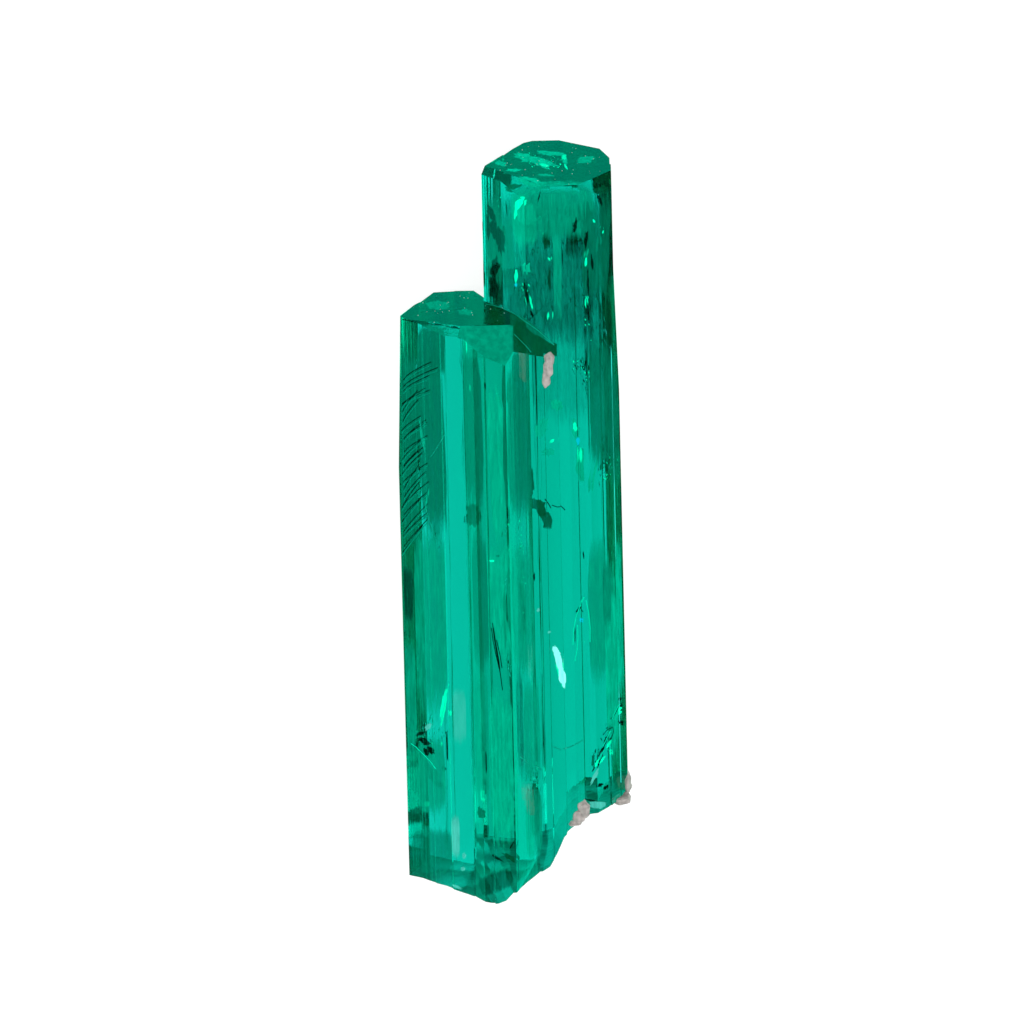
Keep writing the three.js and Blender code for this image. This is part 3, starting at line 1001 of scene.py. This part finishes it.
class EMERALD_OT_crystals(bpy.types.Operator):
    """Build the two joined crystals, with the small pockets that sparkle inside them"""
    bl_idname = "emerald.crystals"
    bl_label = "Crystals"

    def execute(self, context):
        sizes = context.scene.emerald_sizes
        material = emerald_material()
        body = merged_copy("emerald_crystals", "emerald_body")
        pockets = patches("pockets", POCKET_PATCHES, seed=8)
        strew(pockets, material, **{
            "Smallest": sizes.speck, "Largest": sizes.speck * 6, "Stretch": (0.6, 3.4, 0.3),
            "Lean": (0.25, 1.2, 0.25), "Spread": 0.2 * MM, "Flakes per square metre": 40e6, "Seed": 12})
        with_pockets(body, pockets)
        dress(body, material, "emerald", "emerald_crystals")
        return {"FINISHED"}


# How deep the pale, the bright and the dark lines lie below the surface, in millimetres
PALE_DEPTH, BRIGHT_DEPTH, DARK_DEPTH = 0.02, 0.06, 0.07
LINE_PARTS = 6

# The fine dark arcs under the short crystal's left face, from the top one down
ARC_COUNT = 26
ARC_TOP = 372
ARC_STEP = 6.9
ARC_LEFT = 401.5
ARC_WIDE, ARC_NARROW = 32, 20
WIDE_ARCS = 4
ARC_RISE, ARC_FALL = 16, 24
ARC_DEPTH = 0.05
# How far below each arc its glowing painted highlight runs, in pixels
ARC_HIGHLIGHT_DROP = 3.0
THICK_ARCS = (1, 2, 4, 10, 11, 17, 18)


def arc_spots(index, chance):
    """The spots of one arc: steep at the crystal's left edge and bending over to the right."""
    share = index / (ARC_COUNT - 1)
    wide = (ARC_WIDE if index < WIDE_ARCS else ARC_NARROW) + chance.uniform(-6, 5)
    rise = ARC_RISE + (ARC_FALL - ARC_RISE) * share + chance.uniform(-5, 5)
    left = ARC_LEFT + chance.uniform(0, 3)
    foot = ARC_TOP + ARC_STEP * index + 8 + chance.uniform(-3.5, 3.5)
    bend = 0.7 + 0.2 * share
    return [(left + wide * step / 8, foot - rise * (step / 8) ** bend) for step in range(9)]


def line_under(tree, spots, below):
    """The places below the surface that show along a row of spots."""
    found = [under(tree, spot, below, 0.01 * MM) for spot in spots]
    return [place for place, _ in filter(None, found)]


def denser(spots):
    """The spots of a line with more between them, so that it follows the ledges it crosses."""
    row = []
    for (left, top), (right, bottom) in zip(spots, spots[1:]):
        shares = [step / LINE_PARTS for step in range(LINE_PARTS)]
        row += [(left + (right - left) * share, top + (bottom - top) * share) for share in shares]
    return [*row, spots[-1]]


def growth_lines_tree():
    """Geometry Nodes that turn curves into thin tapered threads."""
    tree, given = new_geometry_tree("Growth lines", (
        ("Curves", "Geometry"), ("Thickness", "Float"), ("Material", "Material")), "Lines")
    wire = added(tree, "GeometryNodeCurvePrimitiveCircle", {"Resolution": 5, "Radius": given["Thickness"]})
    thread = added(tree, "GeometryNodeCurveToMesh", {
        "Curve": given["Curves"], "Profile Curve": wire.outputs["Curve"], "Fill Caps": True})
    end_tree(tree, thread.outputs["Mesh"], given["Material"], "Lines")
    return tree


def threads(name, lines, thickness, material):
    """One mesh of thin threads along lines of places, thickest in the middle."""
    curve = bpy.data.curves.new(name, "CURVE")
    curve.dimensions = "3D"
    for places, weight in lines:
        spline = curve.splines.new("POLY")
        spline.points.add(len(places) - 1)
        for index, (point, place) in enumerate(zip(spline.points, places)):
            point.co = (*place, 1.0)
            point.radius = weight * math.sin(math.pi * (index + 0.4) / len(places)) ** 0.6
    source = bpy.data.objects.new(name + "_lines", curve)
    bpy.context.collection.objects.link(source)
    drawn = source.modifiers.new("Growth lines", "NODES")
    drawn.node_group = bpy.data.node_groups.get("Growth lines") or growth_lines_tree()
    set_inputs(drawn, {"Thickness": thickness, "Material": material})
    ready = source.evaluated_get(bpy.context.evaluated_depsgraph_get())
    mesh = bpy.data.meshes.new_from_object(ready)
    bpy.data.objects.remove(source)
    return piece_of(mesh, name)


class EMERALD_OT_growth_lines(bpy.types.Operator):
    """Build the arcs under the short crystal's left face with painted highlights beside them, the scratches
    and the curved cracks
    """
    bl_idname = "emerald.growth_lines"
    bl_label = "Growth lines"

    def execute(self, context):
        tree = crystal_tree()
        chance = random.Random(21)
        arcs, arc_highlights = [], []
        for index in range(ARC_COUNT):
            spots = arc_spots(index, chance)
            below = [(x, y + ARC_HIGHLIGHT_DROP) for x, y in spots]
            weight = chance.uniform(2.5, 4.5) if index in THICK_ARCS else chance.uniform(0.6, 1.7)
            for lines, row, heavy in ((arcs, spots, weight), (arc_highlights, below, 0.6)):
                lines.append((line_under(tree, row, ARC_DEPTH), heavy))
        black = context.scene.emerald_colours.black_flaw
        pale = [(line_under(tree, denser(spots), PALE_DEPTH), 0.4) for spots in PALE_LINES]
        bright = [(line_under(tree, spots, BRIGHT_DEPTH), weight) for weight, *spots in BRIGHT_LINES]
        dark = [(line_under(tree, spots, DARK_DEPTH), weight) for weight, *spots in DARK_LINES]
        for name, lines, finish, colour, glow in (
                ("growth_lines", arcs, "Growth line", black, 0.0),
                # The arc highlights glow as painted light beside the dark arcs
                ("arc_highlights", arc_highlights, "Arc highlight", ARC_HIGHLIGHT_COLOUR, 0.4),
                # The pale lines glow: scratches, and painted highlights on lit edges
                ("pale_lines", pale, "Pale line", PALE_LINE_COLOUR, 0.25),
                # The bright lines glow as painted light in the cracks
                ("bright_lines", bright, "Bright line", BRIGHT_LINE_COLOUR, 0.5),
                ("dark_lines", dark, "Dark line", black, 0.0)):
            material = speck_material(finish, colour, glow)
            dress(threads(name, lines, context.scene.emerald_sizes.thread, material), material, "emerald")
        return {"FINISHED"}


# How a face has to point to be one of the ends, the front facet or one of the shoulder's
END_FACING = 0.999
FACING_ERROR = 0.01
SHOULDER_RIGHT, SHOULDER_RISE = 0.05, 0.3


def faces_where(name, chosen, reach=1.0):
    """A copy of the crystals' faces whose direction, as x, y and z of the standing crystals, is chosen.

    They lie between the depth of the front facet below the short crystal's end and the reach above it.
    """
    piece = merged_copy("emerald_crystals", name)
    standing = [laid_direction(1, 0, 0), laid_direction(0, 1, 0), laid_direction(0, 0, 1)]
    shape = bmesh.new()
    shape.from_mesh(piece.data)
    others = [face for face in shape.faces
              if not -FACET_DEPTH * MM < face.calc_center_median().y - AXIS_END.y < reach
              or not chosen(*(face.normal.dot(way) for way in standing))]
    bmesh.ops.delete(shape, geom=others, context="FACES")
    shape.to_mesh(piece.data)
    shape.free()
    return piece


def ends(x, y, z):
    """Whether a direction is that of the flat end faces."""
    return z > END_FACING


def front_facet(x, y, z):
    """Whether a direction is that of the short crystal's pyramid face."""
    return abs(x) < FACING_ERROR and abs(z - math.cos(FACET_SLOPE)) < FACING_ERROR


def shoulder(x, y, z):
    """Whether a direction is that of the shoulder's curved end, its slope or the steep face beside it."""
    return x > SHOULDER_RIGHT and SHOULDER_RISE < z < END_FACING


def film_under(name, chosen, strength):
    """Thin closed films just under the faces that are chosen."""
    piece = faces_where(name, chosen, 0.1 * MM)
    shape = bmesh.new()
    shape.from_mesh(piece.data)
    fade = shape.verts.layers.float.new("fade")
    dense = shape.verts.layers.float.new("strength")
    shape.normal_update()
    normals = {vertex: vertex.normal.copy() for vertex in shape.verts}
    for vertex, normal in normals.items():
        vertex.co -= normal * SKIN
        vertex[fade] = 1.0
        vertex[dense] = strength
    bmesh.ops.solidify(shape, geom=shape.faces, thickness=FILM_THICKNESS * MM)
    bmesh.ops.recalc_face_normals(shape, faces=shape.faces)
    shape.to_mesh(piece.data)
    shape.free()
    return piece


class EMERALD_OT_dust(bpy.types.Operator):
    """Strew dust on the two end faces"""
    bl_idname = "emerald.dust"
    bl_label = "Dust"

    def execute(self, context):
        grain = context.scene.emerald_sizes.dust
        material = speck_material("Dust", DUST_COLOUR)
        dust = faces_where("dust", ends)
        strew(dust, material, False, **{
            "Smallest": grain * 0.5, "Largest": grain * 2.0, "Stretch": (1.0, 1.0, 1.0),
            "Lean": (1.5, 1.5, 1.5), "Spread": 0.0, "Flakes per square metre": 4e6, "Seed": 5})
        dress(dust, material, "calcite")
        return {"FINISHED"}


class EMERALD_OT_flaws(bpy.types.Operator):
    """Build the veils and dark flakes inside the crystals, and the sheets, flakes and films that glow as
    painted light and shade
    """
    bl_idname = "emerald.flaws"
    bl_label = "Flaws inside"

    def execute(self, context):
        colours = context.scene.emerald_colours
        veil = flaw_material("Veil", colours.dark_flaw, Contrast=2.2, Fray=0.5)
        # Every material from here on but the dark flaw glows, as painted light and shade
        deep = flaw_material("Painted shade sheet", colours.painted_shade_sheet, glow=1.0, Contrast=1.4, Fray=0.5)
        middling = flaw_material("Painted midtone sheet", colours.painted_midtone_sheet, glow=1.0, Contrast=1.4, Fray=0.5)
        dark = flaw_material("Dark flaw", colours.black_flaw, Contrast=1.2, Fray=1.0)
        shade = flaw_material("Shade", SHADE_COLOUR, glow=1.0, Contrast=2.0, Fray=1.2)
        pale = flaw_material("Painted light flake", colours.painted_light, glow=1.0, Contrast=1.8, Fray=0.8)
        bright = flaw_material("Bright flaw", colours.bright_flaw, glow=1.6, Contrast=1.4, Fray=0.6)
        film = flaw_material("Painted glint", PAINTED_GLINT_COLOUR, glow=1.0, Contrast=0.8, Fray=0.3)
        flash = flaw_material("Flash", FLASH_COLOUR, glow=1.6, Contrast=0.6, Fray=0.9)
        cyan = flaw_material("Cyan flaw", colours.cyan_flaw, glow=1.3)
        facet = flaw_material("Painted facet light", PAINTED_FACET_COLOUR, glow=1.0, Contrast=0.3, Fineness=5000.0)
        gloom = flaw_material("Painted shoulder shade", SHOULDER_SHADE_COLOUR, glow=1.0, Contrast=0.6)
        # Painted light on the front facet, a thin film that glows
        dress(film_under("painted_facet_light", front_facet, PAINTED_FACET_STRENGTH), facet, "emerald")
        # Painted shade on the shoulder, a thin film that glows dark
        dress(film_under("painted_shoulder_shade", shoulder, SHOULDER_SHADE_STRENGTH), gloom, "emerald")
        shades = [flaw._replace(strength=SHADE * flaw.strength) for flaw in SHADES]
        for name, flaws, form, seed, material in (
                ("painted_shade_sheets", PAINTED_SHADE_SHEETS, SHEETS, 20, deep),
                ("painted_midtone_sheets", PAINTED_MIDTONE_SHEETS, SHEETS, 21, middling),
                ("glints", GLINTS, BLOTCHES, 22, film),
                ("veils", VEILS, SHEETS, 3, veil),
                ("painted_light_sheets", PAINTED_LIGHT_SHEETS, SHEETS, 13, pale),
                # The films are painted reflections close under the faces
                ("films", PAINTED_REFLECTIONS, SHEETS, 14, film),
                ("flash_rims", FLASH_RIMS, BLOTCHES, 15, bright),
                ("flashes", FLASHES, SPLINTERS, 16, flash),
                ("dark_flakes", DARK_FLAWS, BLOTCHES, 2, dark),
                ("shady_flakes", shades, BLOTCHES, 3, shade),
                ("painted_light_flakes", PAINTED_LIGHT_FLAKES, BLOTCHES, 5, pale),
                ("bright_flakes", BRIGHT_FLAWS, SPLINTERS, 4, bright),
                ("cyan_flakes", CYAN_FLAWS, SPLINTERS, 6, cyan)):
            dress(leaves(name, flaws, form, seed), material, "emerald")
        return {"FINISHED"}


class EMERALD_OT_specks(bpy.types.Operator):
    """Strew the small specks and dashes inside the crystals"""
    bl_idname = "emerald.specks"
    bl_label = "Specks inside"

    def execute(self, context):
        speck = context.scene.emerald_sizes.speck
        colours = context.scene.emerald_colours
        values = {"Smallest": speck, "Largest": speck * 3.0, "Stretch": (0.8, 2.4, 0.35),
                  "Lean": (0.5, 0.5, 0.45), "Spread": 0.15 * MM}
        dark = patches("dark_specks", DARK_SPECKLES, seed=7)
        material = speck_material("Dark speck", colours.dark_flaw)
        strew(dark, material, **values, **{"Flakes per square metre": 45e6, "Seed": 11})
        dress(dark, material, "emerald")
        dashes = patches("dashes", DASH_PATCHES, seed=17)
        strew(dashes, material, **{**values, "Smallest": speck * 2, "Largest": speck * 7,
                                   "Stretch": (0.28, 1.7, 0.2), "Flakes per square metre": 22e6, "Seed": 18})
        dress(dashes, material, "emerald")
        # The bright specks glow as painted glints
        bright = patches("bright_specks", BRIGHT_SPECKLES, seed=8)
        material = speck_material("Bright speck", colours.bright_flaw, glow=0.7)
        strew(bright, material, **values, **{"Flakes per square metre": 30e6, "Seed": 12})
        dress(bright, material, "emerald")
        return {"FINISHED"}


class EMERALD_OT_calcite(bpy.types.Operator):
    """Finish the calcite crumbs"""
    bl_idname = "emerald.calcite"
    bl_label = "Calcite"

    def execute(self, context):
        material = calcite_material()
        for node in ("calcite_patch", "calcite_foot", "calcite_rim"):
            piece = merged_copy(node, node + "_crust")
            dress(piece, material, "calcite", node)
        return {"FINISHED"}


def table_material():
    """A pale table top that glows evenly, like the light box that such stones are shown on."""
    material, tree, output = new_material("Table")
    surface = added(tree, "ShaderNodeBsdfPrincipled", {
        "Base Color": bpy.context.scene.emerald_colours.table, "Roughness": 0.9, "Specular IOR Level": 0.0,
        "Emission Color": (1.0, 1.0, 1.0, 1.0), "Emission Strength": TABLE_GLOW})
    tree.links.new(surface.outputs["BSDF"], output.inputs["Surface"])
    return material


def room():
    """A pale room. What a face's gloss mirrors of it is nearly black above the table and green below it."""
    world = bpy.data.worlds.new("Room")
    world.use_nodes = True
    tree = world.node_tree
    path = added(tree, "ShaderNodeLightPath").outputs
    mirrored = worked(tree, "SUBTRACT", path["Is Glossy Ray"], path["Is Transmission Ray"], clamp=True)
    way = added(tree, "ShaderNodeTexCoord").outputs["Generated"]
    height = added(tree, "ShaderNodeSeparateXYZ", {"Vector": way}).outputs["Z"]
    low = added(tree, "ShaderNodeMapRange", {"Value": height, "From Min": 0.02, "From Max": -0.04})
    gloss = added(tree, "ShaderNodeMix", {0: low.outputs["Result"], 6: MIRRORED_ROOM, 7: MIRRORED_TABLE},
                  data_type="RGBA")
    plain = (ROOM_LIGHT, ROOM_LIGHT, ROOM_LIGHT, 1.0)
    light = added(tree, "ShaderNodeMix", {0: mirrored, 6: plain, 7: gloss.outputs[2]}, data_type="RGBA")
    background = tree.nodes["Background"]
    tree.links.new(light.outputs[2], background.inputs["Color"])
    background.inputs["Strength"].default_value = 1.0
    return world


# Where each window is from the middle of the crystals, its size and its power
WINDOWS = {
    "left_window": ((-0.5, 0.1, 0.45), 0.5, 2.0),
    "right_window": ((0.55, -0.1, 0.35), 0.4, 1.2),
}
TABLE_GAP = 0.02


def area_light(name, place, target, size, power):
    """A soft square lamp aimed at the crystals, that their faces don't mirror."""
    data = bpy.data.lights.new(name, "AREA")
    data.shape = "SQUARE"
    data.size = size
    data.energy = power
    lamp = bpy.data.objects.new(name, data)
    lamp.location = place
    lamp.rotation_mode = "QUATERNION"
    lamp.rotation_quaternion = (target - place).to_track_quat("-Z", "Y")
    lamp.visible_glossy = False
    bpy.context.collection.objects.link(lamp)
    return lamp


def photo_camera():
    """A long lens at the photo's angle, looking down on the lying crystals."""
    sizes = bpy.context.scene.emerald_sizes
    right, up, toward = view_axes()
    data = bpy.data.cameras.new("Camera")
    data.sensor_width = 36.0
    data.lens = data.sensor_width * sizes.camera_distance / (FRAME_HIGH * PIXEL_MM * MM)
    data.clip_start = 0.01
    data.clip_end = 10.0
    camera = bpy.data.objects.new("Camera", data)
    turned = Matrix((right, up, toward)).transposed()
    camera.matrix_world = Matrix.Translation(eye()) @ turned.to_4x4()
    bpy.context.collection.objects.link(camera)
    bpy.context.scene.camera = camera


class EMERALD_OT_stage(bpy.types.Operator):
    """Set the table, the lamps and the camera"""
    bl_idname = "emerald.stage"
    bl_label = "Stage"

    def execute(self, context):
        sizes = context.scene.emerald_sizes
        shape = bmesh.new()
        bmesh.ops.create_circle(shape, cap_ends=True, segments=64, radius=sizes.table_radius)
        mesh = bpy.data.meshes.new("table_top")
        shape.to_mesh(mesh)
        shape.free()
        table = piece_of(mesh, "table_top")
        table.location.z = LOW.z - TABLE_GAP * MM
        mesh.materials.append(table_material())
        table.visible_glossy = False

        context.scene.world = room()
        middle = (LOW + HIGH) / 2
        for name, (away, size, power) in WINDOWS.items():
            area_light(name, middle + Vector(away), middle, size, power)
        photo_camera()
        scene = context.scene
        scene.view_settings.view_transform = "Standard"
        scene.cycles.max_bounces = 24
        scene.cycles.transmission_bounces = 24
        scene.cycles.transparent_max_bounces = 32
        return {"FINISHED"}


class EMERALD_PT_panel(bpy.types.Panel):
    """The sidebar panel that lists the steps"""
    bl_idname = "EMERALD_PT_panel"
    bl_label = "Emerald"
    bl_space_type = "VIEW_3D"
    bl_region_type = "UI"
    bl_category = "Emerald"

    def draw(self, context):
        for group in (context.scene.emerald_sizes, context.scene.emerald_colours):
            for name in group.__annotations__:
                self.layout.prop(group, name)
        for step in STEPS:
            self.layout.operator(step.bl_idname)


STEPS = (EMERALD_OT_stage, EMERALD_OT_crystals, EMERALD_OT_flaws, EMERALD_OT_specks,
         EMERALD_OT_growth_lines, EMERALD_OT_dust, EMERALD_OT_calcite)
GROUPS = {"emerald_sizes": EmeraldSizes, "emerald_colours": EmeraldColours}


def register():
    for name, group in GROUPS.items():
        bpy.utils.register_class(group)
        setattr(bpy.types.Scene, name, bpy.props.PointerProperty(type=group))
    for step in (*STEPS, EMERALD_PT_panel):
        bpy.utils.register_class(step)


def unregister():
    for step in reversed((*STEPS, EMERALD_PT_panel)):
        bpy.utils.unregister_class(step)
    for name, group in reversed(GROUPS.items()):
        delattr(bpy.types.Scene, name)
        bpy.utils.unregister_class(group)


def main():
    register()
    bpy.ops.emerald.stage()
    bpy.ops.emerald.crystals()
    bpy.ops.emerald.flaws()
    bpy.ops.emerald.specks()
    bpy.ops.emerald.growth_lines()
    bpy.ops.emerald.dust()
    bpy.ops.emerald.calcite()


if __name__ == "__main__":
    main()
